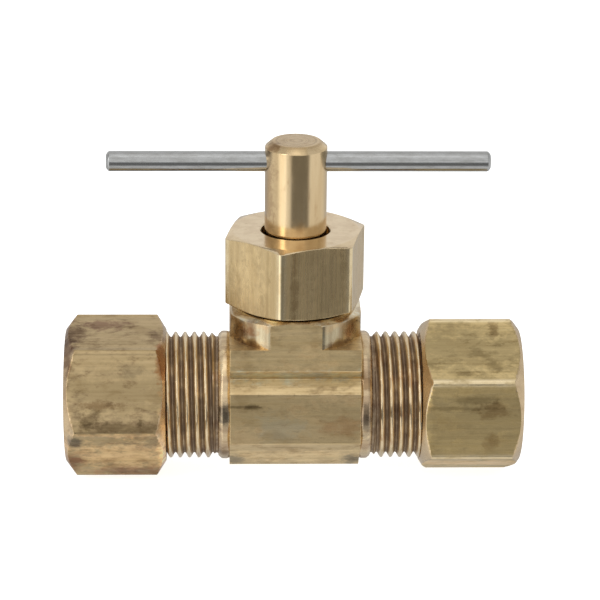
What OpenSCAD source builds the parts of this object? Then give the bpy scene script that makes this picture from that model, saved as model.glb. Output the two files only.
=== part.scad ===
// Needle valve for 3/8 inch tube: a brass body with a compression end on each side,
// a screwed needle stem packed under a bonnet nut, and a steel cross bar as its handle.
// Millimetres. The origin is where the run axis (X) crosses the stem axis (Z).

/* [Body] */
// Width across the flats of the body bar, front to back and along the run
body_flats = 14.6; // [14:0.1:15.4]
// Height of the ledge where the square block is turned round for the boss
ledge_z = 8.2; // [7.5:0.1:9]
// Radius of the turned boss above the ledge
boss_r = 7.84; // [7.6:0.02:8.2]
// Depth of the V groove that runs along the front and the back
v_depth = 1.35; // [0.5:0.05:1.8]
// Height of the middle of the V groove
v_mid_z = 4.3; // [3.8:0.1:4.6]

/* [Tube ends] */
// Outer radius of the thread on each tube end
run_thread_r = 7.145; // [7:0.005:7.3]
// Pitch of every thread on the valve
pitch = 1.0583; // [0.9:0.0001:1.1]
// Distance from the stem axis to each end of the body
run_half = 19.3; // [18.8:0.1:20]
// Radius of the socket that the tube slides into
tube_r = 4.8; // [4.7:0.01:4.9]
// Distance from the stem axis to the stop at the bottom of the socket
socket_stop = 12.6; // [12:0.1:13.4]

/* [Compression nuts] */
// Width across the flats of a compression nut
nut_flats = 15.875; // [15:0.025:16.5]
// Length of a compression nut
nut_len = 11.3; // [11:0.1:12.5]
// Distance from the stem axis to the inner face of the right nut
right_nut_x = 14.15; // [13.8:0.05:14.4]
// How far the left nut is backed off beyond the right one
left_nut_slack = 0.2792; // [0:0.0001:1.0583]
// Turn of the right nut about the run, from a flat facing the front
right_nut_turn = 0; // [-30:0.5:30]
// Turn of the left nut about the run, from a flat facing the front
left_nut_turn = 24; // [-30:0.5:30]

/* [Bonnet nut] */
// Width across the flats of the bonnet nut
bonnet_flats = 14.29; // [13.8:0.01:14.6]
// Height of the bonnet nut's lower face
bonnet_z0 = 11.6; // [11.4:0.05:11.8]
// Height of the bonnet nut's upper face
bonnet_z1 = 19.8; // [19.4:0.1:20.2]
// Turn of the bonnet nut about the stem, from a flat facing the front
bonnet_turn = 17.5; // [-30:0.5:30]
// Radius of the hole in the bonnet nut for the stem
bonnet_hole_r = 3.84; // [3.7:0.01:4]

/* [Stem and handle] */
// Radius of the stem's plain shank
stem_r = 3.44; // [3.3:0.01:3.5]
// Height of the top of the stem when the valve is closed
stem_top = 30.05; // [29:0.05:31]
// Height of the handle bar's axis when the valve is closed
bar_z = 27.67; // [26.8:0.01:28]
// Radius of the handle bar
bar_r = 1.13; // [1:0.01:1.2]
// Length of the handle bar
bar_len = 42.3; // [36:0.1:46]
// How far the handle bar's middle is to the right of the stem axis
bar_shift = 0.28; // [-1:0.01:1]

/* [Hidden] */
$fn = 96;
eps = 0.01;
half = body_flats / 2;
octagon_half = half * tan(22.5);      // half the width of each flat of an octagonal bar
boss_chamfer_in = 0.9;
boss_chamfer_up = 0.45;
boss_top = bonnet_z0 - 0.15;
collar_r = half - 0.05;
collar_end = half + 1.25;
thread_depth = 0.58;                  // radial depth of the tube-end and neck threads
neck_r = 6.35;                        // outer radius of the bonnet thread
neck_top = 15.2;
run_turns = floor((run_half - collar_end - 0.7) / pitch);
neck_turns = 3;

orifice_r = 1.2;                      // the hole that the needle closes
seat_z = -0.4;                        // height of the seat's edge
orifice_low = -3.9;
inlet_z = -2.6;                       // the left port enters below the seat
inlet_r = 1.25;
outlet_z = 1;                         // the right port leaves above the seat
outlet_r = 1.35;
chamber_r = 3.2;
chamber_top = 1;
stem_bore_r = 3.95;                   // runs over the stem's thread and collar
shoulder_z = 11.2;                    // the thrust washer rests here
packing_bore_r = 5.2;

needle_tip_z = -2.75;
needle_tip_r = 0.25;
needle_top_z = 1.2;
needle_seat_r = orifice_r - 0.02;     // closed, with a hair of clearance
needle_slope = (needle_seat_r - needle_tip_r) / (seat_z - needle_tip_z);
needle_top_r = needle_tip_r + needle_slope * (needle_top_z - needle_tip_z);
stem_thread_r = 3.9;
stem_thread_depth = 0.5;
stem_thread_top = 5.85;
stem_turns = 4;
collar_low = 6.2;
collar_high = 8;
o_ring_section = 1;                   // thickness of the O-ring
o_ring_z = 7.1;
groove_floor_r = stem_bore_r - o_ring_section - 0.02;
stem_chamfer = 0.64;
stem_chamfer_in = 0.75;

washer_top = 12;
packing_mid = 13.2;
packing_top = 14.4;
ring_gap = 0.05;                      // running clearance round the packing pieces
gland_low = 14.45;
gland_flange_z = 15.5;
bonnet_wall = 1.8;
bonnet_bore_r = neck_r + 0.05;

ferrule_in = 18.45;                   // inner and outer ends of the right ferrule
ferrule_out = 22.95;
ferrule_bore_r = tube_r + 0.01;
ferrule_r = 5.7;
nut_bore_r = run_thread_r + 0.055;
nut_bore_depth = 7.2;
nut_seat_depth = 9;

brass = [0.72, 0.60, 0.36];
dark_brass = [0.58, 0.48, 0.30];
stem_brass = [0.80, 0.66, 0.38];
steel = [0.62, 0.64, 0.66];
ptfe = [0.92, 0.92, 0.88];
rubber = [0.12, 0.12, 0.12];

// ---- shapes that repeat ----

// A round-about-Z solid from [radius, height] points, closed along the axis
module turned(points) {
    rotate_extrude() polygon(concat([[0, points[0][1]]], points,
                                    [[0, points[len(points) - 1][1]]]));
}

// One V-shaped thread groove to subtract, centred on z = 0
module thread_groove(crest_r, depth) {
    rotate_extrude() polygon([[crest_r - depth, -0.06], [crest_r + 0.3, -0.55],
                              [crest_r + 0.3, 0.55], [crest_r - depth, 0.06]]);
}

// A row of thread grooves up from z = 0
module thread_grooves(crest_r, depth, turns) {
    for (i = [0 : turns - 1])
        translate([0, 0, (i + 0.5) * pitch]) thread_groove(crest_r, depth);
}

// A hexagonal bar along Z with a flat facing -Y, turned to a cone at both ends. Each end face
// is smaller than the flats by face_in all round.
module hex_bar(flats, low, high, low_chamfer, high_chamfer, face_in) {
    corner_r = flats / 2 / cos(30);
    face_r = flats / 2 - face_in;
    drop = corner_r - face_r;
    intersection() {
        translate([0, 0, low]) cylinder(r = corner_r, h = high - low, $fn = 6);
        turned([[face_r, low], [corner_r + 0.2, low + low_chamfer * (drop + 0.2)],
                [corner_r + 0.2, high - high_chamfer * (drop + 0.2)], [face_r, high]]);
    }
}

// A ring about Z
module ring(inner_r, outer_r, low, high) {
    difference() {
        translate([0, 0, low]) cylinder(r = outer_r, h = high - low);
        translate([0, 0, low - 1]) cylinder(r = inner_r, h = high - low + 2);
    }
}

// Turns what is drawn along +Z to lie along the run: side 1 is right, -1 is left
module along_run(side) {
    rotate([0, side * 90, 0]) children();
}

// ---- the body ----

// Cross-section of the body bar, y across and z up
module bar_section() {
    polygon([[-octagon_half, -half], [octagon_half, -half], [half, -octagon_half],
             [half, v_mid_z - v_depth], [half - v_depth, v_mid_z], [half, v_mid_z + v_depth],
             [half, boss_top], [-half, boss_top], [-half, v_mid_z + v_depth],
             [-half + v_depth, v_mid_z], [-half, v_mid_z - v_depth], [-half, -octagon_half]]);
}

// The cut length of bar, its top turned to the round boss
module block() {
    intersection() {
        rotate([90, 0, 90]) translate([0, 0, -half]) linear_extrude(body_flats) bar_section();
        union() {
            translate([-half, -half, -half - 1]) cube([body_flats, body_flats, half + 1 + ledge_z]);
            turned([[boss_r, 0], [boss_r, boss_top - boss_chamfer_up],
                    [boss_r - boss_chamfer_in, boss_top]]);
        }
    }
}

// One threaded end with its plain collar, along +Z
module run_end() {
    difference() {
        turned([[collar_r, 0], [collar_r, collar_end], [run_thread_r - thread_depth, collar_end + 0.1],
                [run_thread_r - thread_depth, collar_end + 0.5], [run_thread_r, collar_end + 1],
                [run_thread_r, run_half - 0.6], [run_thread_r - 0.6, run_half]]);
        translate([0, 0, collar_end + 0.7]) thread_grooves(run_thread_r, thread_depth, run_turns);
    }
}

// The socket for the tube, with the cone that the ferrule seats in, along +Z
module tube_socket() {
    translate([0, 0, socket_stop]) cylinder(r = tube_r, h = run_half);
    translate([0, 0, run_half - 1.6]) cylinder(r1 = tube_r, r2 = tube_r + 1.2, h = 1.6 + eps);
}

module valve_body() {
    color(brass) difference() {
        union() {
            block();
            for (side = [-1, 1]) along_run(side) run_end();
            difference() {
                cylinder(r = neck_r, h = neck_top);
                translate([0, 0, bonnet_z0 + 0.15]) thread_grooves(neck_r, thread_depth, neck_turns);
            }
        }
        for (side = [-1, 1]) along_run(side) tube_socket();
        translate([0, 0, inlet_z]) along_run(-1) cylinder(r = inlet_r, h = socket_stop + eps);
        translate([0, 0, outlet_z]) along_run(1) cylinder(r = outlet_r, h = socket_stop + eps);
        translate([0, 0, orifice_low]) cylinder(r = orifice_r, h = chamber_top - orifice_low);
        translate([0, 0, seat_z]) cylinder(r = chamber_r, h = chamber_top - seat_z + eps);
        translate([0, 0, chamber_top]) cylinder(r = stem_bore_r, h = neck_top);
        translate([0, 0, shoulder_z]) cylinder(r = packing_bore_r, h = neck_top);
    }
}

// ---- the compression ends ----

// A compression nut along +Z with its inner face at z = 0
module compression_nut() {
    difference() {
        hex_bar(nut_flats, 0, nut_len, 0.63, 0.74, 0.5);
        translate([0, 0, -1]) cylinder(r = nut_bore_r, h = nut_bore_depth + 1);
        translate([0, 0, -eps]) cylinder(r1 = nut_bore_r + 0.12, r2 = nut_bore_r, h = 0.12);
        translate([0, 0, nut_bore_depth - eps])
            cylinder(r1 = ferrule_r + 0.4, r2 = tube_r + 0.05, h = nut_seat_depth - nut_bore_depth);
        cylinder(r = tube_r + 0.05, h = nut_len + 1);
    }
}

module left_compression_nut() {
    color(brass) translate([-right_nut_x - left_nut_slack, 0, 0])
        rotate([-left_nut_turn, 0, 0]) along_run(-1) compression_nut();
}

module right_compression_nut() {
    color(brass) translate([right_nut_x, 0, 0])
        rotate([-right_nut_turn, 0, 0]) along_run(1) compression_nut();
}

// A ferrule along +Z, tapered at both ends to fit the seats in the body and the nut
module ferrule() {
    difference() {
        turned([[tube_r + 0.35, ferrule_in], [ferrule_r, ferrule_in + 1.5],
                [ferrule_r, ferrule_out - 1.4], [tube_r + 0.15, ferrule_out - 0.1],
                [tube_r + 0.15, ferrule_out]]);
        cylinder(r = ferrule_bore_r, h = run_half * 2);
    }
}

module left_ferrule() {
    color(stem_brass) translate([-left_nut_slack, 0, 0]) along_run(-1) ferrule();
}

module right_ferrule() {
    color(stem_brass) along_run(1) ferrule();
}

// ---- the bonnet and its packing ----

module bonnet_nut() {
    color(dark_brass) rotate(bonnet_turn) difference() {
        hex_bar(bonnet_flats, bonnet_z0, bonnet_z1, 0.35, 0.3, 0.1);
        translate([0, 0, bonnet_z0 - 1])
            cylinder(r = bonnet_bore_r, h = bonnet_z1 - bonnet_z0 + 1 - bonnet_wall);
        cylinder(r = bonnet_hole_r, h = bonnet_z1 + 1);
    }
}

module packing_gland() {
    color(stem_brass) difference() {
        turned([[packing_bore_r - ring_gap, gland_low], [packing_bore_r - ring_gap, gland_flange_z],
                [neck_r - 0.15, gland_flange_z],
                [neck_r - 0.15, bonnet_z1 - bonnet_wall - 0.02]]);
        cylinder(r = stem_r + ring_gap, h = bonnet_z1);
    }
}

module upper_packing_ring() {
    color(ptfe) ring(stem_r + ring_gap, packing_bore_r - ring_gap, packing_mid, packing_top);
}

module lower_packing_ring() {
    color(ptfe) ring(stem_r + ring_gap, packing_bore_r - ring_gap, washer_top, packing_mid);
}

module thrust_washer() {
    color(steel) ring(stem_r + ring_gap, packing_bore_r - ring_gap, shoulder_z, washer_top);
}

// ---- the stem and its handle ----

module stem() {
    color(stem_brass) difference() {
        turned([[needle_tip_r, needle_tip_z], [needle_top_r, needle_top_z],
                [stem_thread_r - stem_thread_depth, needle_top_z],
                [stem_thread_r, needle_top_z + 0.4], [stem_thread_r, stem_thread_top],
                [stem_r, stem_thread_top + 0.1], [stem_r, collar_low], [stem_thread_r, collar_low],
                [stem_thread_r, collar_high], [stem_r, collar_high],
                [stem_r, stem_top - stem_chamfer], [stem_r - stem_chamfer_in, stem_top]]);
        translate([0, 0, needle_top_z + 0.4])
            thread_grooves(stem_thread_r, stem_thread_depth, stem_turns);
        ring(groove_floor_r, stem_thread_r + 1, o_ring_z - 0.6, o_ring_z + 0.6);
        translate([0, 0, bar_z]) along_run(1)
            translate([0, 0, -10]) cylinder(r = bar_r + 0.01, h = 20);
    }
}

module stem_o_ring() {
    color(rubber) rotate_extrude()
        translate([groove_floor_r + 0.01 + (stem_bore_r - 0.02 - groove_floor_r) / 2, o_ring_z])
            circle(r = (stem_bore_r - 0.02 - groove_floor_r) / 2 - 0.01);
}

module handle_bar() {
    chamfer = 0.35;
    color(steel) translate([bar_shift, 0, bar_z]) along_run(1)
        turned([[bar_r - chamfer, -bar_len / 2], [bar_r, -bar_len / 2 + chamfer],
                [bar_r, bar_len / 2 - chamfer], [bar_r - chamfer, bar_len / 2]]);
}

valve_body();
left_compression_nut();
right_compression_nut();
left_ferrule();
right_ferrule();
bonnet_nut();
packing_gland();
upper_packing_ring();
lower_packing_ring();
thrust_washer();
stem();
stem_o_ring();
handle_bar();
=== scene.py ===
"""Looks of a brass needle valve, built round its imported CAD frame. Lengths in the code are millimetres."""

import math

import bmesh
import bpy
import numpy as np
from mathutils import Matrix, Vector

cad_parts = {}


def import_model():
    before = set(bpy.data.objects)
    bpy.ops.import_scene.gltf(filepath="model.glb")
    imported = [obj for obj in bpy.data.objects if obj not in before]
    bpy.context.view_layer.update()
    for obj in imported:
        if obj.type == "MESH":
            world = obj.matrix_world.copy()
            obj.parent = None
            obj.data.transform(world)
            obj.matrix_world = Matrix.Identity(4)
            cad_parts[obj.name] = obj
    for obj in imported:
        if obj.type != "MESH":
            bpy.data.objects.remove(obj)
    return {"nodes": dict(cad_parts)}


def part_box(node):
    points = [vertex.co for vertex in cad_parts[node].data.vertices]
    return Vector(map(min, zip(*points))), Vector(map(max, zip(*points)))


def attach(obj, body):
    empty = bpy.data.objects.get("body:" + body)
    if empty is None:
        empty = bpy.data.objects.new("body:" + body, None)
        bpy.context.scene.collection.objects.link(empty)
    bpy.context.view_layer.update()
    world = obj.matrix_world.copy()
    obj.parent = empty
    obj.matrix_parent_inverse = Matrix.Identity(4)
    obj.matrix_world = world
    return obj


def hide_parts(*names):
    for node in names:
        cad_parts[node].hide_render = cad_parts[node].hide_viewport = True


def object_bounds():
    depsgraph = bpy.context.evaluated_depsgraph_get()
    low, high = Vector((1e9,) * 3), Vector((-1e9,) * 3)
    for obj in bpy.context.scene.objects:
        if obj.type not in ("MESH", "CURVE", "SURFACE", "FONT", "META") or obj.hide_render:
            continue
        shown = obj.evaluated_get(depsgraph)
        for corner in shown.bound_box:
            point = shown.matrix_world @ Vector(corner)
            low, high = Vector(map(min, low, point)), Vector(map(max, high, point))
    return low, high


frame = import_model()
cad_low, cad_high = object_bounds()

MM = 0.001

# Camera, as azimuth, elevation and roll in degrees, and millimetres
CAM_AZIMUTH = -1.85
CAM_ELEVATION = 20.33
CAM_ROLL = 0.61
CAM_DISTANCE = 300.0
CAM_TARGET = (0.59, 0.0, 11.40)
CAM_LENS = 160.68

# Light, as a share of the picture's white
WORLD_LOW = 0.86
WORLD_HIGH = 0.64
WORLD_BACK = 0.16
WORLD_BEHIND = 0.28
WORLD_GLOW = 0.65
WORLD_FRONT = 0.32
WORLD_ROOM = 0.74
FLOOR_GLOW = 0.75

# Sizes that the frame's boxes don't give
PITCH = 1.0583
THREAD_DEPTH = 0.60
RUN_THREAD_R = 7.145
NECK_THREAD_R = 6.35
STEM_THREAD_R = 3.9
THREAD_GAP = 0.09
LEFT_THREAD_START = -9.356
RIGHT_THREAD_START = 9.144
TUBE_R = 4.8
SOCKET_STOP = 12.6
INLET_R = 1.25
INLET_Z = -2.6
OUTLET_R = 1.35
OUTLET_Z = 1.0
COLLAR_R = 7.25
COLLAR_END = 8.55
BODY_HALF = 7.3
LEDGE_Z = 8.2
BOSS_R = 7.84
BOSS_CHAMFER_IN = 0.9
BOSS_CHAMFER_UP = 0.45
STEM_BORE_R = 3.95
PACKING_BORE_R = 5.2
SHOULDER_Z = 11.2
GLAND_FLANGE_Z = 15.5
CHAMBER_R = 3.2
CHAMBER_TOP = 1.0
SEAT_Z = -0.4
ORIFICE_R = 1.2
ORIFICE_LOW = -3.9
V_DEPTH = 1.35
V_MID_Z = 4.3
LEFT_NUT_TURN = 24.0
RIGHT_NUT_TURN = 0.0
NUT_FLATS = 15.875
NUT_BORE_DEPTH = 7.2
NUT_SEAT_DEPTH = 9.0
NUT_SEAT_R = 6.1
NUT_ROUND = 0.5
BONNET_TURN = 17.5
BONNET_FLATS = 14.29
BONNET_HOLE_R = 3.84
BONNET_WALL = 1.8
BONNET_ROUND = 0.65
SHANK_R = 3.44
STEM_CHAMFER = 0.64
STEM_CHAMFER_IN = 0.75
O_RING_FLOOR_R = 2.93
NEEDLE_TOP_Z = 1.2
NEEDLE_TOP_R = 1.82
NEEDLE_TIP_R = 0.25
STEM_THREAD_DEPTH = 0.5


def mm_box(node):
    """Lowest and highest corner of a CAD node in millimetres."""
    low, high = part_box(node)
    return np.array(low) / MM, np.array(high) / MM


# ---- rows and skins ---------------------------------------------------------
# A skin is a grid of points: each row is one loop round an axis, and each column
# has one angle. A path gives the rows' place along the axis and their radius.

def filleted(points, radius, steps=3):
    """The points of a path with each inner corner rounded by a small arc."""
    points = [np.array(p, float) for p in points]
    made = [points[0]]
    for before, corner, after in zip(points, points[1:], points[2:]):
        to_before, to_after = before - corner, after - corner
        reach_before, reach_after = np.linalg.norm(to_before), np.linalg.norm(to_after)
        reach = min(radius, 0.45 * reach_before, 0.45 * reach_after)
        start = corner + to_before / reach_before * reach
        end = corner + to_after / reach_after * reach
        for t in np.linspace(0, 1, steps + 1):
            made.append((1 - t) ** 2 * start + 2 * t * (1 - t) * corner + t * t * end)
    made.append(points[-1])
    return made


def stepped(points, step):
    """The points of a path with more put in, so that none are further apart than step."""
    made = [points[0]]
    for a, b in zip(points, points[1:]):
        count = max(1, math.ceil(np.linalg.norm(np.subtract(b, a)) / step))
        made += [a + (b - a) * i / count for i in range(1, count + 1)]
    return made


def rows_of(points, angles, shape=None, radius=0.1, step=1.0):
    """Rows (place, radius at each angle) along a rounded path. shape changes the radii."""
    path = np.array(stepped(filleted(points, radius), step))
    place = path[:, :1]
    radii = np.repeat(path[:, 1:], len(angles), axis=1)
    if shape:
        radii = shape(place, radii, angles[None, :])
    return np.repeat(place, len(angles), axis=1), radii


def smooth_min(a, b, soft):
    """The lesser of two values, rounded where they meet."""
    blend = np.clip(0.5 + 0.5 * (b - a) / soft, 0, 1)
    return b * (1 - blend) + a * blend - soft * blend * (1 - blend)


def make_mesh(name, vertices, faces, body, *nodes):
    """An object from points in millimetres, which rides on a body and stands for nodes."""
    mesh = bpy.data.meshes.new(name)
    mesh.from_pydata([tuple(v) for v in np.asarray(vertices) * MM], [], faces)
    mesh.validate()
    work = bmesh.new()
    work.from_mesh(mesh)
    bmesh.ops.remove_doubles(work, verts=work.verts, dist=1e-7)
    bmesh.ops.recalc_face_normals(work, faces=work.faces)
    for face in work.faces:
        face.smooth = True
    work.to_mesh(mesh)
    work.free()
    mesh.set_sharp_from_angle(angle=math.radians(40))
    piece = bpy.data.objects.new(name, mesh)
    bpy.context.scene.collection.objects.link(piece)
    weighted = piece.modifiers.new("weighted_normals", "WEIGHTED_NORMAL")
    weighted.weight = 60
    weighted.keep_sharp = True
    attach(piece, body)
    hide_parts(*nodes)
    return piece


def skin_points(parts, along, turn=0.0, angles=None):
    """Points of a stack of rows. along is 'x' or 'z'; angles are turned by turn degrees."""
    place = np.concatenate([p for p, _ in parts])
    radii = np.concatenate([r for _, r in parts])
    swing = angles[None, :] + math.radians(turn)
    across, up = radii * np.cos(swing), radii * np.sin(swing)
    grid = (place, across, up) if along == "x" else (across, up, place)
    return np.stack([np.broadcast_to(g, radii.shape) for g in grid], axis=-1)


def grid_faces(rows, columns, loop):
    """Quads of a grid that closes round its columns, and from last row to first if loop."""
    faces = []
    for i in range(rows if loop else rows - 1):
        j = (i + 1) % rows
        for k in range(columns):
            m = (k + 1) % columns
            faces.append((i * columns + k, i * columns + m, j * columns + m, j * columns + k))
    return faces


def skin(name, grid, body, nodes, loop=False):
    """A closed skin from a grid of points: a loop of rows, or one with a cap at each end."""
    rows, columns = grid.shape[:2]
    vertices = grid.reshape(-1, 3)
    faces = grid_faces(rows, columns, loop)
    if not loop:
        low, high = grid[0].mean(axis=0), grid[-1].mean(axis=0)
        first, last = len(vertices), len(vertices) + 1
        vertices = np.vstack([vertices, low, high])
        top = (rows - 1) * columns
        for k in range(columns):
            m = (k + 1) % columns
            faces.append((k, m, first))
            faces.append((top + k, top + m, last))
    return make_mesh(name, vertices, faces, body, *nodes)


def even_angles(count):
    return np.linspace(0, 2 * math.pi, count, endpoint=False)


def hexagon_angles(flat_steps=14, corner_steps=10, corner_half=2.6):
    """Angles that gather at the six corners, which are at 0, 60, 120 ... degrees."""
    corner = np.linspace(-corner_half, corner_half, corner_steps + 1)
    flat = np.linspace(corner_half, 60 - corner_half, flat_steps + 1)[1:-1]
    return np.radians(np.concatenate([60 * i + np.concatenate([corner, flat]) for i in range(6)]))


def hexagon(flats, round_r, soft=0.05):
    """A shape that keeps a path's radii inside a hexagon with rounded corners."""
    centre = (flats / 2 - round_r) / math.cos(math.pi / 6)

    def shape(place, radii, angles):
        off = (angles + math.pi / 6) % (math.pi / 3) - math.pi / 6
        to_flat = flats / 2 / np.cos(math.pi / 6 - np.abs(off))
        inside = np.maximum(round_r ** 2 - (centre * np.sin(off)) ** 2, 0)
        to_corner = centre * np.cos(off) + np.sqrt(inside)
        edge = np.where(inside > 0, np.minimum(to_flat, to_corner), to_flat)
        return smooth_min(radii, np.broadcast_to(edge, radii.shape), soft)

    return shape


def thread_wave(place, angles, start):
    """0 on the crests and 1 in the roots of a right-hand thread along +X or +Z."""
    phase = (place - start) / PITCH - angles / (2 * math.pi)
    off = np.abs((phase + 0.5) % 1 - 0.5) * 2
    flank = np.clip((off - 0.16) / (0.90 - 0.16), 0, 1)
    return flank * flank * (3 - 2 * flank) * 0.5 + flank * 0.5


def thread(start, depth):
    """A shape that cuts a thread into a path's radii."""
    return lambda place, radii, angles: radii - thread_wave(place, angles, start) * depth


# ---- the body ---------------------------------------------------------------

def quadrant(half, depth, turned):
    """A quarter of the block's outline, from the x axis to the y axis: a flat, a corner
    and a flat. The corner is rounded, or turned to a radius about the stem axis."""
    if turned is None:
        spread = math.degrees(0.10 / half)
        corner = math.degrees(math.atan2(depth, half))
        bounds = corner - spread, corner + spread
        limit = math.hypot(half, depth) - 0.05
    else:
        bounds = (max(math.degrees(math.acos(min(half / turned, 1))), 5.0),
                  90 - max(math.degrees(math.acos(min(depth / turned, 1))), 5.0))
        limit = turned
    lead = 0.4
    turns = np.concatenate([
        np.linspace(0, bounds[0] - lead, 9),
        np.linspace(bounds[0], bounds[1], 17),
        np.linspace(bounds[1] + lead, 90, 9)])
    a = np.radians(turns)
    to_side = half / np.maximum(np.cos(a), 1e-6)
    to_front = depth / np.maximum(np.sin(a), 1e-6)
    flat = np.minimum(to_side, to_front)
    radius = np.minimum(flat, limit)
    return np.stack([radius * np.cos(a), radius * np.sin(a)], axis=-1)


def outline(half, depth, turned, scale=1.0):
    """The block's whole outline at one height."""
    q = quadrant(half, depth, turned) * scale
    right = np.vstack([q[::-1] * (1, -1), q[1:]])
    left = right[::-1] * (-1, 1)
    return np.vstack([right, left[1:-1]])


def outlines(rows):
    """A grid from rows of (height, half depth, turned radius or None, scale)."""
    grid = []
    for z, depth, turned, scale in rows:
        flat = outline(BODY_HALF, depth, turned, scale)
        grid.append(np.column_stack([flat, np.full(len(flat), z)]))
    return np.array(grid)


def body_bar():
    """The cut length of bar below the boss, half octagonal, with its V groove."""
    half = BODY_HALF
    octagon = half * math.tan(math.radians(22.5))
    side = filleted([(-half, octagon), (-octagon, half), (V_MID_Z - V_DEPTH, half),
                     (V_MID_Z, half - V_DEPTH), (V_MID_Z + V_DEPTH, half), (LEDGE_Z, half)], 0.10)
    rows = [(-half, octagon, None, s) for s in (0.12, 0.6, 0.97)]
    rows += [(z, depth, None, 1.0) for z, depth in stepped(side, 0.8)]
    rows.append((LEDGE_Z, half, None, 0.98))
    bore = [(LEDGE_Z, STEM_BORE_R), (CHAMBER_TOP, STEM_BORE_R), (CHAMBER_TOP, CHAMBER_R),
            (SEAT_Z, CHAMBER_R), (SEAT_Z, ORIFICE_R), (ORIFICE_LOW, ORIFICE_R), (ORIFICE_LOW, 0.3)]
    rows += [(z, half, radius, 1.0) for z, radius in bore]
    return skin("body_bar", outlines(rows), "valve_body", ["valve_body"])


def body_boss():
    """The top of the bar, turned round where its corners stood."""
    top = mm_box("bonnet_nut")[0][2] - 0.15
    side = stepped(filleted([(LEDGE_Z, BOSS_R), (top - BOSS_CHAMFER_UP, BOSS_R),
                             (top, BOSS_R - BOSS_CHAMFER_IN), (top, 5.9)], 0.08), 0.5)
    foot = LEDGE_Z - 0.5
    rows = [(foot, BODY_HALF, BOSS_R, 0.97), (LEDGE_Z - 0.02, BODY_HALF, BOSS_R, 0.995)]
    rows += [(z, BODY_HALF, radius, 1.0) for z, radius in side]
    bore = [(top, PACKING_BORE_R), (SHOULDER_Z, PACKING_BORE_R), (SHOULDER_Z, STEM_BORE_R),
            (foot, STEM_BORE_R)]
    rows += [(z, BODY_HALF, radius, 1.0) for z, radius in bore]
    return skin("body_boss", outlines(rows), "valve_body", ["valve_body"], loop=True)


def run_end(name, side, thread_start, port_r, port_z):
    """A threaded end with its collar, its tube socket and the port at the socket's bottom.
    side is 1 for right, -1 for left."""
    low, high = mm_box("valve_body")
    end = high[0] if side > 0 else -low[0]
    angles = even_angles(144)
    root = RUN_THREAD_R - THREAD_DEPTH
    collar = [(5.5, 3.0), (5.5, COLLAR_R), (BODY_HALF + 0.02, COLLAR_R - 0.12),
              (BODY_HALF + 0.25, COLLAR_R), (COLLAR_END - 0.4, COLLAR_R),
              (COLLAR_END, COLLAR_R - 0.35), (COLLAR_END + 0.05, root + 0.05),
              (COLLAR_END + 0.3, root + 0.05)]
    socket = [(end, RUN_THREAD_R - THREAD_DEPTH), (end, TUBE_R + 1.2), (end - 1.6, TUBE_R),
              (SOCKET_STOP, TUBE_R), (SOCKET_STOP, port_r), (BODY_HALF + 0.2, port_r)]

    def threaded(place, radii, turned):
        cut = thread_wave(place * side, turned, thread_start) * THREAD_DEPTH
        from_collar = np.abs(place) - COLLAR_END - 0.3
        relief = np.clip(1 - from_collar / 0.5, 0, 1) * (THREAD_DEPTH - 0.05)
        chamfer = np.clip(np.abs(place) - (end - 0.75), 0, 1)
        return RUN_THREAD_R - np.maximum(cut, np.maximum(relief, chamfer))

    parts = [rows_of(collar, angles, radius=0.15),
             rows_of([(COLLAR_END + 0.35, RUN_THREAD_R), (end - 0.02, RUN_THREAD_R)], angles,
                     threaded, step=PITCH / 14),
             rows_of(socket, angles, radius=0.06)]
    grid = skin_points(parts, "x", angles=angles)
    radii = parts[-1][1]
    grid[-len(radii):, :, 2] += port_z * np.clip((TUBE_R - radii) / (TUBE_R - port_r), 0, 1)
    grid[..., 0] *= side
    return skin(name, grid, "valve_body", ["valve_body"])


def neck():
    top = mm_box("valve_body")[1][2]
    angles = even_angles(120)
    floor = mm_box("bonnet_nut")[0][2]
    bore = PACKING_BORE_R
    parts = [rows_of([(floor - 1.2, bore + 0.4), (floor - 1.2, NECK_THREAD_R - 0.1),
                      (floor + 0.1, NECK_THREAD_R - THREAD_DEPTH)], angles),
             rows_of([(floor + 0.12, NECK_THREAD_R), (top - 0.35, NECK_THREAD_R)], angles,
                     thread(0, THREAD_DEPTH), step=PITCH / 12),
             rows_of([(top - 0.3, NECK_THREAD_R - THREAD_DEPTH), (top, NECK_THREAD_R - 0.75),
                      (top, bore), (floor - 1.2, bore)], angles, radius=0.05)]
    grid = skin_points(parts, "z", angles=angles)
    return skin("neck", grid, "valve_body", ["valve_body"], loop=True)


# ---- the nuts ---------------------------------------------------------------

def hex_path(flats, low, high, inner_low, inner_high, low_slope, high_slope, face_in):
    """The outside of a nut as a path: a face, a cone, the flats, a cone and a face."""
    face_r = flats / 2 - face_in
    corner_r = flats / 2 / math.cos(math.pi / 6) + 0.2
    rise = corner_r - face_r
    return [(low, inner_low), (low, face_r), (low + low_slope * rise, corner_r),
            (high - high_slope * rise, corner_r), (high, face_r), (high, inner_high)]


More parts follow.
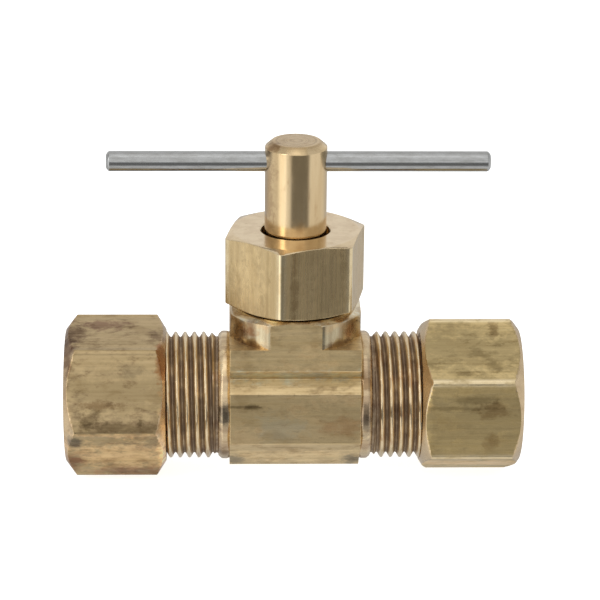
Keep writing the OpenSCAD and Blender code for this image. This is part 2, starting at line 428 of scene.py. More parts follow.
def compression_nut(node, side, flat_turn, thread_start):
    """A nut on the run. flat_turn is how far its front flat looks up from level."""
    turn = 30 - flat_turn
    low, high = mm_box(node)
    inner, outer = (low[0], high[0]) if side > 0 else (-high[0], -low[0])
    angles = hexagon_angles()
    bore = RUN_THREAD_R + THREAD_GAP
    hole = TUBE_R + 0.05
    depth = inner + NUT_BORE_DEPTH
    seat = inner + NUT_SEAT_DEPTH
    outside = hex_path(NUT_FLATS, inner, outer, bore + 0.12, hole + 0.25,
                       low_slope=0.63, high_slope=0.74, face_in=0.5)

    def female(place, radii, turned):
        swing = turned + math.radians(turn)
        return bore - thread_wave(place * side, swing, thread_start) * (THREAD_DEPTH - 0.1)

    parts = [rows_of(outside, angles, hexagon(NUT_FLATS, NUT_ROUND), radius=0.12, step=0.09),
             rows_of([(outer - 0.2, hole), (seat, hole), (depth + 0.1, NUT_SEAT_R),
                      (depth, bore)], angles, radius=0.04, step=0.8),
             rows_of([(depth - 0.05, bore), (inner + 0.2, bore)], angles, female, step=PITCH / 12)]
    grid = skin_points(parts, "x", turn, angles)
    grid[..., 0] *= side
    body = "right_nut" if side > 0 else "left_nut"
    return skin(node + "_skin", grid, body, [node], loop=True)


def bonnet_nut():
    low, high = mm_box("bonnet_nut")
    bottom, top = low[2], high[2]
    hole = BONNET_HOLE_R
    bore = NECK_THREAD_R + THREAD_GAP
    under = top - BONNET_WALL
    angles = hexagon_angles()
    outside = hex_path(BONNET_FLATS, bottom, top, bore + 0.25, hole + 0.12,
                       low_slope=0.35, high_slope=0.3, face_in=0.1)

    def female(place, radii, turned):
        swing = turned + math.radians(BONNET_TURN)
        return bore - thread_wave(place, swing, 0) * (THREAD_DEPTH - 0.1)

    parts = [rows_of(outside, angles, hexagon(BONNET_FLATS, BONNET_ROUND), radius=0.10, step=0.09),
             rows_of([(top - 0.12, hole), (under, hole), (under, bore), (GLAND_FLANGE_Z, bore)],
                     angles, radius=0.05),
             rows_of([(GLAND_FLANGE_Z - 0.1, bore), (bottom + 0.3, bore)], angles, female,
                     step=PITCH / 12)]
    grid = skin_points(parts, "z", BONNET_TURN, angles)
    return skin("bonnet_nut_skin", grid, "bonnet_nut", ["bonnet_nut"], loop=True)


# ---- the stem and its bar ---------------------------------------------------

def stem():
    low, high = mm_box("stem")
    top = high[2]
    shank = SHANK_R
    floor = O_RING_FLOOR_R
    angles = even_angles(96)
    thread_low, thread_high = NEEDLE_TOP_Z + 0.1, 5.8
    needle = [(low[2], 0.05), (low[2], NEEDLE_TIP_R), (NEEDLE_TOP_Z, NEEDLE_TOP_R),
              (NEEDLE_TOP_Z, STEM_THREAD_R - STEM_THREAD_DEPTH)]
    upper = [(5.9, shank), (6.2, shank), (6.2, STEM_THREAD_R), (6.5, STEM_THREAD_R), (6.5, floor),
             (7.7, floor), (7.7, STEM_THREAD_R), (8.0, STEM_THREAD_R), (8.0, shank),
             (top - STEM_CHAMFER, shank), (top, shank - STEM_CHAMFER_IN), (top, 0.3)]
    parts = [rows_of(needle, angles, radius=0.04),
             rows_of([(thread_low, STEM_THREAD_R), (thread_high, STEM_THREAD_R)], angles,
                     thread(0, STEM_THREAD_DEPTH), step=PITCH / 12),
             rows_of(upper, angles, radius=0.09, step=2.0)]
    grid = skin_points(parts, "z", angles=angles)
    return skin("stem_skin", grid, "stem", ["stem"])


def handle_bar():
    low, high = mm_box("handle_bar")
    radius = (high[2] - low[2]) / 2
    height = (high[2] + low[2]) / 2
    angles = even_angles(48)
    path = [(low[0], 0.1), (low[0], radius - 0.35), (low[0] + 0.3, radius),
            (high[0] - 0.3, radius), (high[0], radius - 0.35), (high[0], 0.1)]
    grid = skin_points([rows_of(path, angles, radius=0.12, step=1.0)], "x", angles=angles)
    grid[..., 2] += height
    return skin("handle_bar_skin", grid, "stem", ["handle_bar"])


# ---- materials --------------------------------------------------------------

class Nodes:
    """Short ways to build one material's nodes."""

    def __init__(self, name, tree=None, coordinates="Object"):
        if tree is None:
            self.material = bpy.data.materials.new(name)
            self.material.use_nodes = True
            tree = self.material.node_tree
            self.shader = tree.nodes["Principled BSDF"]
        self.tree = tree
        self.position = self.new("ShaderNodeTexCoord").outputs[coordinates]

    def new(self, kind, **settings):
        node = self.tree.nodes.new(kind)
        for key, value in settings.items():
            setattr(node, key, value)
        return node

    def link(self, source, target):
        self.tree.links.new(source, target)

    def parts(self):
        """The x, y and z of the coordinates, in metres."""
        node = self.new("ShaderNodeSeparateXYZ")
        self.link(self.position, node.inputs[0])
        return node.outputs

    def reach(self, along):
        """The distance from the x or z axis, in metres."""
        x, y, z = self.parts()
        pair = (y, z) if along == "x" else (x, y)
        return self.math("SQRT", self.math("ADD", *(self.math("MULTIPLY", v, v) for v in pair)))

    def feed(self, socket, value):
        """Links a socket, or sets a plain value."""
        if isinstance(value, bpy.types.NodeSocket):
            self.link(value, socket)
        else:
            socket.default_value = value

    def math(self, operation, a, b=0.0, clamp=False):
        node = self.new("ShaderNodeMath", operation=operation, use_clamp=clamp)
        self.feed(node.inputs[0], a)
        self.feed(node.inputs[1], b)
        return node.outputs[0]

    def mapped(self, scale=(1, 1, 1), offset=(0, 0, 0)):
        """The object's own coordinates in millimetres, stretched by scale."""
        node = self.new("ShaderNodeMapping")
        self.link(self.position, node.inputs["Vector"])
        node.inputs["Scale"].default_value = [s / MM for s in scale]
        node.inputs["Location"].default_value = offset
        return node.outputs[0]

    def noise(self, vector, scale=1.0, detail=4.0, rough=0.55, distort=0.0):
        node = self.new("ShaderNodeTexNoise")
        self.link(vector, node.inputs["Vector"])
        node.inputs["Scale"].default_value = scale
        node.inputs["Detail"].default_value = detail
        node.inputs["Roughness"].default_value = rough
        node.inputs["Distortion"].default_value = distort
        return node.outputs["Fac"]

    def between(self, value, low, high, out_low=0.0, out_high=1.0):
        """Rescales value from low..high to out_low..out_high, held at the ends."""
        node = self.new("ShaderNodeMapRange", interpolation_type="SMOOTHSTEP")
        self.feed(node.inputs["Value"], value)
        for key, number in (("From Min", low), ("From Max", high),
                            ("To Min", out_low), ("To Max", out_high)):
            node.inputs[key].default_value = number
        return node.outputs[0]

    def mix(self, share, first, second):
        """Mixes two colours."""
        node = self.new("ShaderNodeMix", data_type="RGBA")
        self.feed(node.inputs[0], share)
        for socket, value in ((node.inputs[6], first), (node.inputs[7], second)):
            self.feed(socket, value if isinstance(value, bpy.types.NodeSocket) else (*value, 1))
        return node.outputs[2]

    def tint(self, share, colour, by):
        """Multiplies a colour by another."""
        node = self.new("ShaderNodeMix", data_type="RGBA", blend_type="MULTIPLY")
        self.feed(node.inputs[0], share)
        self.feed(node.inputs[6], colour)
        self.feed(node.inputs[7], by if isinstance(by, bpy.types.NodeSocket) else (*by, 1))
        return node.outputs[2]

    def with_stains_and_painted_light(self, colour, spots):
        """Tints a colour inside each soft ragged ellipsoid, for stains and for painted light and
        shade: (centre, reach, tint, amount), the first two in millimetres."""
        wobble = self.noise(self.mapped((0.7, 1.0, 1.0), (4, 4, 4)), 1.0, 6.0, 0.72)
        wobble = self.math("MULTIPLY", self.math("SUBTRACT", wobble, 0.5), 3.6)
        for centre, reach, tint, amount in spots:
            shift = self.new("ShaderNodeVectorMath", operation="SUBTRACT")
            self.link(self.position, shift.inputs[0])
            shift.inputs[1].default_value = [c * MM for c in centre]
            size = self.new("ShaderNodeVectorMath", operation="DIVIDE")
            self.link(shift.outputs[0], size.inputs[0])
            size.inputs[1].default_value = [r * MM for r in reach]
            length = self.new("ShaderNodeVectorMath", operation="LENGTH")
            self.link(size.outputs[0], length.inputs[0])
            ragged = self.math("ADD", length.outputs["Value"], wobble)
            colour = self.tint(self.between(ragged, 1.35, 0.35, 0.0, amount), colour, tint)
        return colour

    def bump(self, height, strength, distance, before=None):
        node = self.new("ShaderNodeBump")
        node.inputs["Strength"].default_value = strength
        node.inputs["Distance"].default_value = distance * MM
        self.link(height, node.inputs["Height"])
        if before:
            self.link(before, node.inputs["Normal"])
        return node.outputs[0]

    def finish(self, colour, roughness, normal, metallic=1.0):
        self.feed(self.shader.inputs["Base Color"], colour)
        self.feed(self.shader.inputs["Roughness"], roughness)
        if normal:
            self.link(normal, self.shader.inputs["Normal"])
        self.shader.inputs["Metallic"].default_value = metallic
        return self.material


def along_axis(along, lengthwise, across):
    """A stretch with one scale along x or z, and another across it."""
    return (lengthwise, across, across) if along == "x" else (across, across, lengthwise)


def drawn_brass(name, along, bright, dull, stain, tarnish=0.5, rough=(0.38, 0.54), wear=1.0,
                streaks=1.0, edge=None, spots=()):
    """Aged brass bar: streaks along its drawn direction, a patchy dull film, specks, stains and painted
    light and shade.
    Corners further from the axis than edge are rubbed bright by wear and painted brighter as a highlight."""
    n = Nodes(name)
    broad = n.noise(n.mapped(along_axis(along, 0.035, 0.9)), 1.0, 3.0, 0.6)
    smudge = n.noise(n.mapped(along_axis(along, 0.26, 0.42), (9, 2, 6)), 1.0, 4.0, 0.6, 0.3)
    lines = n.noise(n.mapped(along_axis(along, 0.06, 2.6), (5, 1, 2)), 1.0, 5.0, 0.7)
    fine = n.noise(n.mapped(along_axis(along, 0.16, 8.0), (1, 4, 3)), 1.0, 3.0, 0.6)
    patches = n.noise(n.mapped(along_axis(along, 0.16, 0.26)), 1.0, 5.0, 0.62, 0.5)
    mottle = n.noise(n.mapped(along_axis(along, 0.55, 1.1), (3, 1, 2)), 1.0, 6.0, 0.72)
    specks = n.noise(n.mapped(along_axis(along, 1.3, 2.3), (7, 3, 5)), 1.0, 4.0, 0.65)
    film = n.math("ADD", n.math("MULTIPLY", patches, 0.5), n.math("MULTIPLY", mottle, 0.5))
    film = n.between(film, 0.53 - 0.12 * tarnish, 0.66 - 0.12 * tarnish)
    colour = n.mix(film, bright, dull)
    colour = n.tint(n.between(broad, 0.40, 0.62, 0.0, 0.40 * wear), colour, (0.70, 0.69, 0.60))
    colour = n.tint(n.between(lines, 0.50, 0.64, 0.0, 0.60 * streaks), colour, (0.66, 0.62, 0.52))
    colour = n.tint(n.between(lines, 0.47, 0.36, 0.0, 0.50 * streaks), colour, (1.22, 1.18, 1.12))
    colour = n.tint(n.between(smudge, 0.50, 0.66, 0.0, 0.55 * wear), colour, (0.66, 0.60, 0.52))
    colour = n.tint(n.between(mottle, 0.50, 0.74, 0.0, 0.55 * wear), colour, (0.62, 0.53, 0.44))
    colour = n.mix(n.between(specks, 0.57, 0.76, 0.0, 0.40 * wear), colour, stain)
    colour = n.with_stains_and_painted_light(colour, spots)
    roughness = n.between(film, 0.0, 1.0, rough[0], rough[1])
    roughness = n.math("ADD", roughness, n.between(lines, 0.36, 0.64, -0.04, 0.06))
    # painted highlight: corners beyond edge take a brighter colour and less roughness, partly wear and
    # partly a painted highlight
    if edge:
        worn_and_highlight = n.between(n.reach(along), (edge - 0.12) * MM, (edge + 0.10) * MM)
        worn_and_highlight = n.math("MULTIPLY", worn_and_highlight, n.between(mottle, 0.62, 0.42, 0.45, 1.0))
        colour = n.mix(worn_and_highlight, colour, POLISHED_AND_HIGHLIGHT)
        roughness = n.math("SUBTRACT", roughness, n.math("MULTIPLY", worn_and_highlight, 0.08))
    normal = n.bump(fine, 0.25, 0.012)
    normal = n.bump(lines, 0.35 * streaks, 0.03, normal)
    normal = n.bump(mottle, 0.25, 0.06, normal)
    return n.finish(colour, roughness, normal)


def turned_brass(name, along, colour_a, colour_b, rough=(0.15, 0.24), top=None, spots=()):
    """Bright turned brass with fine tool rings across its axis and a light uneven tint. Up to
    the height top, the end face has its own rings and a darker tone."""
    n = Nodes(name)
    rings = n.noise(n.mapped(along_axis(along, 7.0, 0.02)), 1.0, 3.0, 0.6)
    bands = n.noise(n.mapped(along_axis(along, 0.05, 0.55)), 1.0, 3.0, 0.55, 0.2)
    marks = n.noise(n.mapped(along_axis(along, 0.35, 1.2), (2, 5, 1)), 1.0, 5.0, 0.65)
    colour = n.mix(n.between(bands, 0.38, 0.62), colour_a, colour_b)
    colour = n.tint(n.between(marks, 0.56, 0.70, 0.0, 0.45), colour, (0.72, 0.62, 0.52))
    roughness = n.between(marks, 0.40, 0.66, rough[0], rough[1])
    if top is not None:
        join = n.new("ShaderNodeCombineXYZ")
        n.link(n.math("MULTIPLY", n.reach("z"), 2.6 / MM), join.inputs[0])
        ripple = n.noise(join.outputs[0], 1.0, 3.0, 0.7)
        on_top = n.between(n.parts()[2], (top - 0.5) * MM, (top - 0.05) * MM)
        face = n.math("MULTIPLY", on_top, n.between(ripple, 0.38, 0.62, 0.35, 1.0))
        colour = n.tint(face, colour, (0.60, 0.56, 0.52))
        roughness = n.math("ADD", roughness, n.math("MULTIPLY", on_top, 0.12))
    colour = n.with_stains_and_painted_light(colour, spots)
    normal = n.bump(rings, 0.18, 0.008)
    normal = n.bump(marks, 0.08, 0.03, normal)
    return n.finish(colour, roughness, normal)


def thread_brass(name, along, major, depth, crest_colour, root_colour):
    """Threaded brass: bright crests, darker roots, and painted shade inside the ports."""
    n = Nodes(name)
    # the roots are painted darker, in patches
    root = n.between(n.reach(along), (major - 0.22 * depth) * MM, (major - 0.80 * depth) * MM)
    root_patches = n.noise(n.mapped(along_axis(along, 0.8, 0.5)), 1.0, 5.0, 0.65)
    root = n.math("MULTIPLY", root, n.between(root_patches, 0.30, 0.58, 0.55, 1.0))
    colour = n.mix(root, crest_colour, root_colour)
    # painted shade: within 1.9 mm of the axis, the ports are painted near black inside
    inside = n.between(n.reach(along), 1.9 * MM, 1.6 * MM)
    colour = n.mix(inside, colour, (0.03, 0.02, 0.012))
    stain = n.noise(n.mapped((0.35, 0.45, 0.45), (1, 2, 3)), 1.0, 5.0, 0.65)
    colour = n.tint(n.between(stain, 0.50, 0.66, 0.0, 0.6), colour, (0.66, 0.52, 0.46))
    fine = n.noise(n.mapped(along_axis(along, 6.0, 0.8)), 1.0, 3.0, 0.6)
    colour = n.tint(n.between(fine, 0.52, 0.66, 0.0, 0.4), colour, (0.7, 0.65, 0.55))
    roughness = n.between(root, 0.0, 1.0, 0.27, 0.62)
    normal = n.bump(fine, 0.25, 0.02)
    return n.finish(colour, roughness, normal)


def steel(name, along):
    """Drawn steel rod with faint lengthwise lines and small dull marks."""
    n = Nodes(name)
    lines = n.noise(n.mapped((0.04, 4.0, 4.0) if along == "x" else (4.0, 4.0, 0.04)), 1.0, 5.0, 0.65)
    marks = n.noise(n.mapped((0.6, 1.6, 1.6)), 1.0, 6.0, 0.7)
    colour = n.mix(n.between(marks, 0.35, 0.7), (0.45, 0.455, 0.45), (0.37, 0.37, 0.357))
    colour = n.tint(n.between(lines, 0.5, 0.75, 0.0, 0.5), colour, (0.7, 0.7, 0.7))
    roughness = n.between(marks, 0.3, 0.75, 0.16, 0.28)
    normal = n.bump(lines, 0.25, 0.015)
    return n.finish(colour, roughness, normal)


def soft_solid(name, colour_a, colour_b, rough):
    """Waxy or rubbery material for the packing and seals."""
    n = Nodes(name)
    grain = n.noise(n.mapped((2.0, 2.0, 2.0)), 1.0, 5.0, 0.6)
    colour = n.mix(n.between(grain, 0.3, 0.7), colour_a, colour_b)
    normal = n.bump(grain, 0.15, 0.03)
    return n.finish(colour, n.between(grain, 0.3, 0.7, rough, rough + 0.12), normal, metallic=0.0)


def paint(piece, material):
    """Puts one material on a piece or a CAD node."""
    piece.data.materials.clear()
    piece.data.materials.append(material)


# ---- stage ------------------------------------------------------------------

def camera():
    azimuth, elevation, roll = (math.radians(a) for a in (CAM_AZIMUTH, CAM_ELEVATION, CAM_ROLL))
    back = Vector((math.sin(azimuth) * math.cos(elevation),
                   -math.cos(azimuth) * math.cos(elevation), math.sin(elevation)))
    level = Vector((math.cos(azimuth), math.sin(azimuth), 0))
    up = back.cross(level)
    right = level * math.cos(roll) + up * math.sin(roll)
    upright = up * math.cos(roll) - level * math.sin(roll)
    data = bpy.data.cameras.new("camera")
    data.lens = CAM_LENS
    data.clip_start, data.clip_end = 0.01, 20
    eye = bpy.data.objects.new("camera", data)
    turn = Matrix((right, upright, back)).transposed()
    place = (Vector(CAM_TARGET) + back * CAM_DISTANCE) * MM
    eye.matrix_world = Matrix.Translation(place) @ turn.to_4x4()
    bpy.context.scene.collection.objects.link(eye)
    bpy.context.scene.camera = eye


def area_light(name, azimuth, elevation, distance, size, glow):
    """A soft box that faces the valve, as bright as glow times the white of the picture.
    Azimuth 0 is in front, 90 is at the right."""
    a, e = math.radians(azimuth), math.radians(elevation)
    away = Vector((math.sin(a) * math.cos(e), -math.cos(a) * math.cos(e), math.sin(e)))
    data = bpy.data.lights.new(name, "AREA")
    data.shape = "RECTANGLE"
    data.size, data.size_y = (s * MM for s in size)
    data.energy = glow * math.pi * data.size * data.size_y
    lamp = bpy.data.objects.new(name, data)
    lamp.location = away * distance * MM + Vector((0, 0, 8 * MM))
    lamp.rotation_mode = "QUATERNION"
    lamp.rotation_quaternion = away.to_track_quat("Z", "Y")
    bpy.context.scene.collection.objects.link(lamp)


def floor():
    low = cad_low[2] / MM - 0.02
    size = 3000
    corners = [(-size, -size, low), (size, -size, low), (size, size, low), (-size, size, low)]
    mesh = bpy.data.meshes.new("floor")
    mesh.from_pydata([tuple(c * MM for c in p) for p in corners], [], [(0, 1, 2, 3)])
    sheet = bpy.data.objects.new("floor", mesh)
    bpy.context.scene.collection.objects.link(sheet)
    n = Nodes("floor_paper")
    grain = n.noise(n.mapped((0.02, 0.02, 0.02)), 1.0, 3.0, 0.5)
    n.finish(n.mix(grain, (0.90, 0.90, 0.90), (0.93, 0.93, 0.93)), 0.8, None, 0.0)
    n.shader.inputs["Emission Color"].default_value = (1, 1, 1, 1)
    n.shader.inputs["Emission Strength"].default_value = FLOOR_GLOW
    mesh.materials.append(n.material)
    sheet.visible_glossy = False


def world():
    """A white studio round the valve, with a dark room behind the camera and a soft glow at
    its left. Each part of it is a window in azimuth (0 in front, 90 right) and in height."""
    scene = bpy.context.scene
    scene.world = bpy.data.worlds.new("studio")
    scene.world.use_nodes = True
    n = Nodes("", scene.world.node_tree, "Generated")
    x, y, z = n.parts()
    azimuth = n.math("ARCTAN2", x, n.math("MULTIPLY", y, -1.0))

    def window(middle, half, soft, low, high, low_soft, high_soft):
        """A share that is 1 inside, in degrees either side of the middle and from low to high."""
        off = n.math("ABSOLUTE", n.math("SUBTRACT", azimuth, math.radians(middle)))
        beside = n.between(off, math.radians(half + soft), math.radians(half))
        above = n.between(z, low - low_soft, low)
        below = n.between(z, high + high_soft, high)
        return n.math("MULTIPLY", beside, n.math("MULTIPLY", above, below))

    light = n.between(z, -0.2, 0.5, WORLD_LOW, WORLD_HIGH)
    back = n.between(n.math("ABSOLUTE", azimuth), math.radians(110), math.radians(150))
    high = n.math("MULTIPLY", back, n.between(z, 0.0, 0.2, -WORLD_BEHIND, WORLD_BACK))
    light = n.math("ADD", light, high)
    glow = window(-52, 9, 12, -0.8, 0.55, 0.15, 0.2)
    light = n.math("ADD", light, n.math("MULTIPLY", glow, WORLD_GLOW))
    front = window(0, 26, 16, 0.16, 0.97, 0.14, 0.10)
    light = n.math("ADD", light, n.math("MULTIPLY", front, WORLD_FRONT))
    room = window(14, 27, 14, -0.52, -0.02, 0.14, 0.14)
    light = n.math("MULTIPLY", light, n.math("SUBTRACT", 1.0, n.math("MULTIPLY", room, WORLD_ROOM)))
    n.feed(scene.world.node_tree.nodes["Background"].inputs["Color"], light)


def stage():
    camera()
    floor()
    world()
    area_light("key", -50, 35, 420, (110, 300), 1.6)
    area_light("top", 0, 84, 420, (300, 300), 0.30)
    settings = bpy.context.scene.view_settings
    settings.view_transform = "Standard"
    settings.look = "None"


# ---- colours, stains and painted light and shade ----------------------------

BRASS = (0.77, 0.59, 0.325)
BRASS_DULL = (0.61, 0.46, 0.255)
SPECK = (0.20, 0.125, 0.075)
# painted highlight colour, with wear, for the bright corners
POLISHED_AND_HIGHLIGHT = (0.80, 0.655, 0.41)
CREST = (0.76, 0.605, 0.39)
ROOT = (0.30, 0.22, 0.15)

# Tints of the stains and of the painted light and shade, as a share of the colour under them
BROWN = (0.46, 0.36, 0.28)
DARK_BROWN = (0.30, 0.27, 0.22)
PURPLE = (0.46, 0.33, 0.34)
UMBER_STAIN_AND_SHADE_TINT = (0.42, 0.34, 0.31)
# a stain tint, also used as painted shade down the stem's left side
RUST = (0.70, 0.42, 0.27)
# a stain tint, also used as painted dark reflections on the front of the collars
SLATE_STAIN_AND_REFLECTION_TINT = (0.34, 0.36, 0.42)
# painted light: the next two tints lighten highlights and lit flats
WARM_PAINTED_LIGHT_TINT = (1.62, 1.52, 1.42)
PAINTED_LIGHT_TINT = (1.25, 1.25, 1.24)
SHADE = (0.70, 0.70, 0.70)
# painted light: the next three tints lighten and warm faces where reflected light falls
RIM_PAINTED_LIGHT_TINT = (1.18, 1.38, 1.75)
PINKISH_PAINTED_LIGHT_TINT = (1.50, 1.42, 1.50)
YELLOWISH_PAINTED_LIGHT_TINT = (1.0, 0.96, 0.82)
# a green stain tint, also used as painted shade in the V groove
GREENISH_STAIN_AND_SHADE_TINT = (0.84, 1.08, 1.55)
COOLER = (0.93, 1.06, 1.20)

# Each stain, and each patch of painted light and shade, is its centre and its reach in millimetres, its tint
# and how strong it is
BODY_STAINS_AND_PAINTED_LIGHT = [
    ((-6.4, -7.3, 1.45), (2.6, 1.0, 0.20), DARK_BROWN, 0.6),
    ((-4.7, -7.3, 1.40), (1.1, 1.0, 0.32), DARK_BROWN, 0.75),
    ((5.3, -7.3, -0.9), (2.6, 1.0, 1.1), RUST, 0.35),
    ((-1.5, -7.3, -1.0), (2.6, 1.0, 1.6), GREENISH_STAIN_AND_SHADE_TINT, 0.3),
    # painted light: the top of the front flat and the foot of the boss lightened
    ((0.0, -7.3, 8.2), (9.0, 1.5, 3.4), PAINTED_LIGHT_TINT, 0.9),
    # painted light: the lower slanted flats, which face the floor, lightened
    ((0.0, -5.4, -6.0), (12.0, 1.8, 1.8), PAINTED_LIGHT_TINT, 1.0),
    # painted shade: the V groove darkened and cooled
    ((0.0, -6.6, 5.0), (12.0, 1.0, 0.9), GREENISH_STAIN_AND_SHADE_TINT, 0.9),
    ((-6.9, -4.3, -6.3), (1.2, 1.6, 1.3), SLATE_STAIN_AND_REFLECTION_TINT, 0.75),
    ((6.7, -4.2, -6.2), (1.3, 1.6, 1.3), SLATE_STAIN_AND_REFLECTION_TINT, 0.85)]
BOSS_STAINS_AND_PAINTED_LIGHT = [
    # painted light: the boss's top chamfer, shaded by the nut above, lightened and cooled
    ((0.0, 0.0, 11.5), (30.0, 30.0, 0.5), RIM_PAINTED_LIGHT_TINT, 1.0),
    ((0.0, -6.0, 9.6), (12.0, 4.0, 1.6), COOLER, 1.0),
    ((-6.2, -4.9, 9.2), (0.8, 1.6, 1.3), UMBER_STAIN_AND_SHADE_TINT, 0.9),
    ((-5.2, -6.0, 8.3), (2.8, 1.8, 0.6), UMBER_STAIN_AND_SHADE_TINT, 0.95),
    ((-5.0, -5.8, 10.0), (0.7, 1.2, 0.9), RUST, 0.8),
    ((4.8, -6.2, 8.5), (2.4, 1.8, 0.4), UMBER_STAIN_AND_SHADE_TINT, 0.8),
    ((5.9, -5.2, 9.8), (0.7, 1.2, 0.9), RUST, 0.6)]
COLLAR_STAINS_AND_PAINTED_LIGHT = [
    # painted reflection: a dark grey patch on the front of the left collar
    ((-8.0, -7.0, 0.4), (1.2, 1.5, 1.3), SLATE_STAIN_AND_REFLECTION_TINT, 0.8),
    ((-8.0, -5.0, -4.6), (1.2, 1.5, 0.8), BROWN, 0.7),
    # painted highlight on the upper left collar
    ((-8.0, -4.6, 5.8), (1.2, 2.5, 2.0), PAINTED_LIGHT_TINT, 0.9),
    # painted reflection: a dark grey patch on the front of the right collar
    ((8.0, -7.0, -0.6), (1.2, 1.5, 1.8), SLATE_STAIN_AND_REFLECTION_TINT, 0.6),
    ((8.0, -6.2, 4.0), (1.2, 1.5, 0.9), BROWN, 0.8)]
LEFT_NUT_STAINS_AND_PAINTED_LIGHT = [
    ((-25.4, -4.5, 7.2), (1.0, 3.5, 2.4), UMBER_STAIN_AND_SHADE_TINT, 0.85),
    # painted highlight on the lower part of the outer chamfer
    ((-25.3, -8.0, 1.0), (0.8, 1.5, 4.0), PAINTED_LIGHT_TINT, 0.9),
    ((-24.7, -1.5, 7.9), (1.5, 2.6, 1.5), UMBER_STAIN_AND_SHADE_TINT, 0.8),
    ((-21.3, 0.8, 8.1), (2.8, 1.2, 1.0), PURPLE, 0.8),
    ((-15.4, -1.7, 7.8), (1.1, 1.2, 0.9), UMBER_STAIN_AND_SHADE_TINT, 0.8),
    ((-21.4, -7.9, 1.9), (2.6, 0.8, 0.45), BROWN, 0.6),
    ((-22.9, -8.5, 0.4), (1.5, 0.7, 1.0), DARK_BROWN, 0.6),
    ((-17.2, -8.6, 0.2), (0.4, 0.6, 0.6), DARK_BROWN, 0.7),
    ((-20.0, -8.9, -0.35), (7.0, 0.7, 0.55), DARK_BROWN, 0.55),
    # painted highlight: a light line along the corner between the front and lower flats
    ((-19.0, -8.8, -1.3), (7.0, 0.7, 0.35), WARM_PAINTED_LIGHT_TINT, 1.0),
    # painted shade over the front flat
    ((-19.5, -7.3, 3.2), (9.0, 1.6, 3.6), SHADE, 0.55),
    ((-18.2, -6.3, 5.4), (1.4, 0.9, 0.8), SLATE_STAIN_AND_REFLECTION_TINT, 0.25),
    # painted light over the lower flat, which faces the floor
    ((-19.0, -6.2, -5.0), (9.0, 2.6, 3.4), WARM_PAINTED_LIGHT_TINT, 1.0),
    ((-24.5, -8.0, -2.4), (0.8, 0.9, 1.2), SLATE_STAIN_AND_REFLECTION_TINT, 1.0),
    ((-24.8, -5.6, -6.0), (1.2, 1.6, 1.8), PURPLE, 0.8),
    ((-18.0, -4.2, -7.7), (4.6, 1.4, 1.0), PURPLE, 0.7),
    ((-14.7, -5.5, 6.0), (0.7, 2.6, 2.6), RUST, 0.8),
    # painted highlight on the lower half of the inner chamfer
    ((-14.6, -7.0, -2.8), (0.7, 3.0, 5.0), WARM_PAINTED_LIGHT_TINT, 0.8)]
RIGHT_NUT_STAINS_AND_PAINTED_LIGHT = [
    # painted highlight on the inner chamfer
    ((14.4, -7.2, 2.9), (0.7, 2.0, 1.8), WARM_PAINTED_LIGHT_TINT, 1.0),
    # painted light along the inner chamfer
    ((14.4, -6.8, 0.0), (0.7, 3.0, 8.0), PAINTED_LIGHT_TINT, 0.7),
    ((18.2, -7.9, 1.5), (6.0, 0.8, 0.25), DARK_BROWN, 0.4),
    ((22.0, -7.9, 1.3), (2.0, 0.8, 1.0), BROWN, 0.6),
    ((20.0, -7.9, 2.5), (2.6, 0.8, 0.6), DARK_BROWN, 0.4),
    # painted highlight below the upper corner of the front flat
    ((18.5, -7.9, 3.4), (4.5, 0.8, 0.8), PAINTED_LIGHT_TINT, 0.6),
    # painted shade over the upper flat
    ((19.0, -3.8, 6.9), (12.0, 4.2, 2.8), SHADE, 1.0),
    ((21.8, -7.9, -2.6), (0.8, 0.8, 1.0), BROWN, 0.5),
    ((22.3, -1.1, 8.5), (0.6, 1.8, 1.2), BROWN, 0.5),
    # painted light over the lower flat, which faces the floor
    ((19.0, -5.0, -6.8), (12.0, 3.0, 2.0), PINKISH_PAINTED_LIGHT_TINT, 1.0),
    # painted light over the lower part of the front flat
    ((19.0, -7.9, -2.6), (5.0, 0.8, 2.0), PAINTED_LIGHT_TINT, 0.6)]
BONNET_STAINS_AND_PAINTED_LIGHT = [
    ((-0.3, -7.5, 15.5), (0.4, 0.7, 6.0), BROWN, 0.45),
    # painted shade over the right half of the front flat
    ((3.8, -6.3, 15.0), (2.2, 1.5, 6.0), SHADE, 0.5),
    # painted light on the left flat
    ((-5.5, -5.0, 15.5), (2.2, 2.2, 4.0), PAINTED_LIGHT_TINT, 0.8),
    # painted reflection: a warmer tint on the right flat
    ((7.0, 0.0, 15.5), (1.6, 5.0, 6.0), YELLOWISH_PAINTED_LIGHT_TINT, 1.0)]
STEM_STAINS_AND_PAINTED_SHADE = [
    ((-2.8, -1.6, 29.7), (1.3, 1.2, 0.5), BROWN, 0.8),
    # painted shade down the stem's left side
    ((-3.3, -1.2, 24.0), (1.2, 1.9, 6.5), UMBER_STAIN_AND_SHADE_TINT, 0.45)]


# ---- everything together ----------------------------------------------------

def is_flat(face):
    """Whether a face of the boss is part of a flat of the bar, and not turned."""
    middle = face.center / MM
    return max(abs(middle.x), abs(middle.y)) > BODY_HALF - 0.01 and abs(face.normal.z) < 0.1


def two_materials(piece, drawn, turned, is_turned):
    """Paints a piece cut from bar: the drawn flats, and what a lathe has turned."""
    paint(piece, drawn)
    piece.data.materials.append(turned)
    for face in piece.data.polygons:
        face.material_index = int(is_turned(face))


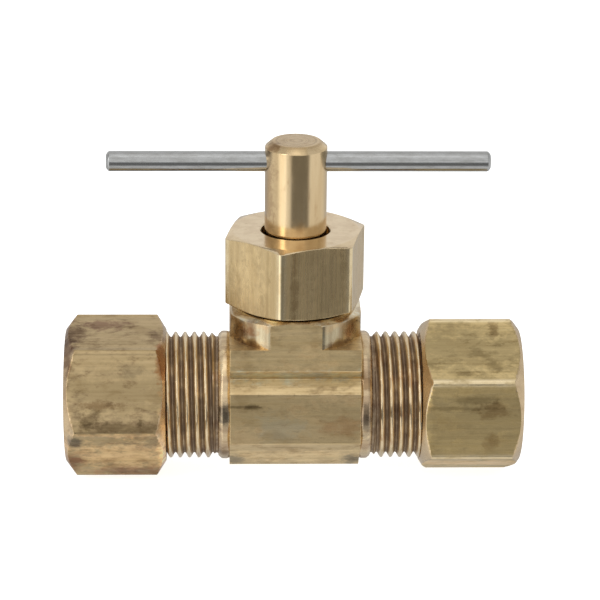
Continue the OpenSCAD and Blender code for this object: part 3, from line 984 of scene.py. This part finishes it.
def paint_run():
    bar = drawn_brass("body_brass", "x", BRASS, BRASS_DULL, SPECK, wear=0.8, streaks=0.8,
                      spots=BODY_STAINS_AND_PAINTED_LIGHT)
    paint(body_bar(), bar)
    two_materials(body_boss(), bar,
                  turned_brass("boss_brass", "z", (0.66, 0.50, 0.29), (0.42, 0.29, 0.16),
                               rough=(0.16, 0.30), spots=BOSS_STAINS_AND_PAINTED_LIGHT),
                  lambda face: not is_flat(face))
    threads = thread_brass("thread_brass", "x", RUN_THREAD_R, THREAD_DEPTH, CREST, ROOT)
    collar = turned_brass("collar_brass", "x", (0.74, 0.58, 0.36), (0.48, 0.35, 0.22),
                          rough=(0.22, 0.38), spots=COLLAR_STAINS_AND_PAINTED_LIGHT)

    def is_collar(face):
        x, y, z = face.center / MM
        return abs(x) < COLLAR_END + 0.03 and math.hypot(y, z) > 6.0

    for piece in (run_end("left_run_end", -1, LEFT_THREAD_START, INLET_R, INLET_Z),
                  run_end("right_run_end", 1, RIGHT_THREAD_START, OUTLET_R, OUTLET_Z)):
        two_materials(piece, threads, collar, is_collar)
    paint(neck(), thread_brass("neck_brass", "z", NECK_THREAD_R, THREAD_DEPTH, CREST, ROOT))


def paint_nuts():
    def is_end(axis):
        return lambda face: abs(face.normal[axis]) > 0.3

    nut_edge = NUT_FLATS / 2 / math.cos(math.pi / 6) - 0.25
    left = drawn_brass("left_nut_brass", "x", (0.54, 0.405, 0.22), (0.42, 0.31, 0.175), SPECK,
                       wear=0.9, streaks=0.45, spots=LEFT_NUT_STAINS_AND_PAINTED_LIGHT)
    left_end = turned_brass("left_nut_ends", "x", (0.60, 0.45, 0.27), (0.49, 0.345, 0.205),
                            rough=(0.26, 0.38), spots=LEFT_NUT_STAINS_AND_PAINTED_LIGHT)
    two_materials(compression_nut("left_compression_nut", -1, LEFT_NUT_TURN, LEFT_THREAD_START),
                  left, left_end, is_end(0))
    right = drawn_brass("right_nut_brass", "x", (0.66, 0.505, 0.25), (0.52, 0.40, 0.195), SPECK,
                        wear=0.4, streaks=0.6, edge=nut_edge, spots=RIGHT_NUT_STAINS_AND_PAINTED_LIGHT)
    right_end = turned_brass("right_nut_ends", "x", (0.68, 0.52, 0.32), (0.60, 0.45, 0.27),
                             rough=(0.26, 0.36))
    two_materials(compression_nut("right_compression_nut", 1, RIGHT_NUT_TURN, RIGHT_THREAD_START),
                  right, right_end, is_end(0))
    bonnet_edge = BONNET_FLATS / 2 / math.cos(math.pi / 6) - 0.28
    bonnet = drawn_brass("bonnet_brass", "z", (0.68, 0.515, 0.28), (0.56, 0.425, 0.23), SPECK,
                         tarnish=0.1, rough=(0.26, 0.38), wear=0.4, streaks=0.4,
                         edge=bonnet_edge, spots=BONNET_STAINS_AND_PAINTED_LIGHT)
    bonnet_end = turned_brass("bonnet_ends", "z", (0.78, 0.62, 0.40), (0.70, 0.54, 0.34),
                              rough=(0.16, 0.24))
    two_materials(bonnet_nut(), bonnet, bonnet_end, is_end(2))


def paint_stem():
    top = mm_box("stem")[1][2]
    paint(stem(), turned_brass("stem_brass", "z", (0.76, 0.585, 0.35), (0.67, 0.50, 0.28), top=top,
                               spots=STEM_STAINS_AND_PAINTED_SHADE))
    paint(handle_bar(), steel("bar_steel", "x"))


def paint_hidden_parts():
    nodes = frame["nodes"]
    sleeve = turned_brass("ferrule_brass", "x", (0.72, 0.55, 0.30), (0.62, 0.47, 0.25))
    for node in ("left_ferrule", "right_ferrule", "packing_gland"):
        paint(nodes[node], sleeve)
    packing = soft_solid("packing_plastic", (0.86, 0.86, 0.82), (0.78, 0.78, 0.73), 0.35)
    for node in ("upper_packing_ring", "lower_packing_ring"):
        paint(nodes[node], packing)
    paint(nodes["thrust_washer"], steel("washer_steel", "z"))
    paint(nodes["stem_o_ring"],
          soft_solid("seal_rubber", (0.02, 0.02, 0.02), (0.035, 0.034, 0.033), 0.45))


paint_run()
paint_nuts()
paint_stem()
paint_hidden_parts()
stage()
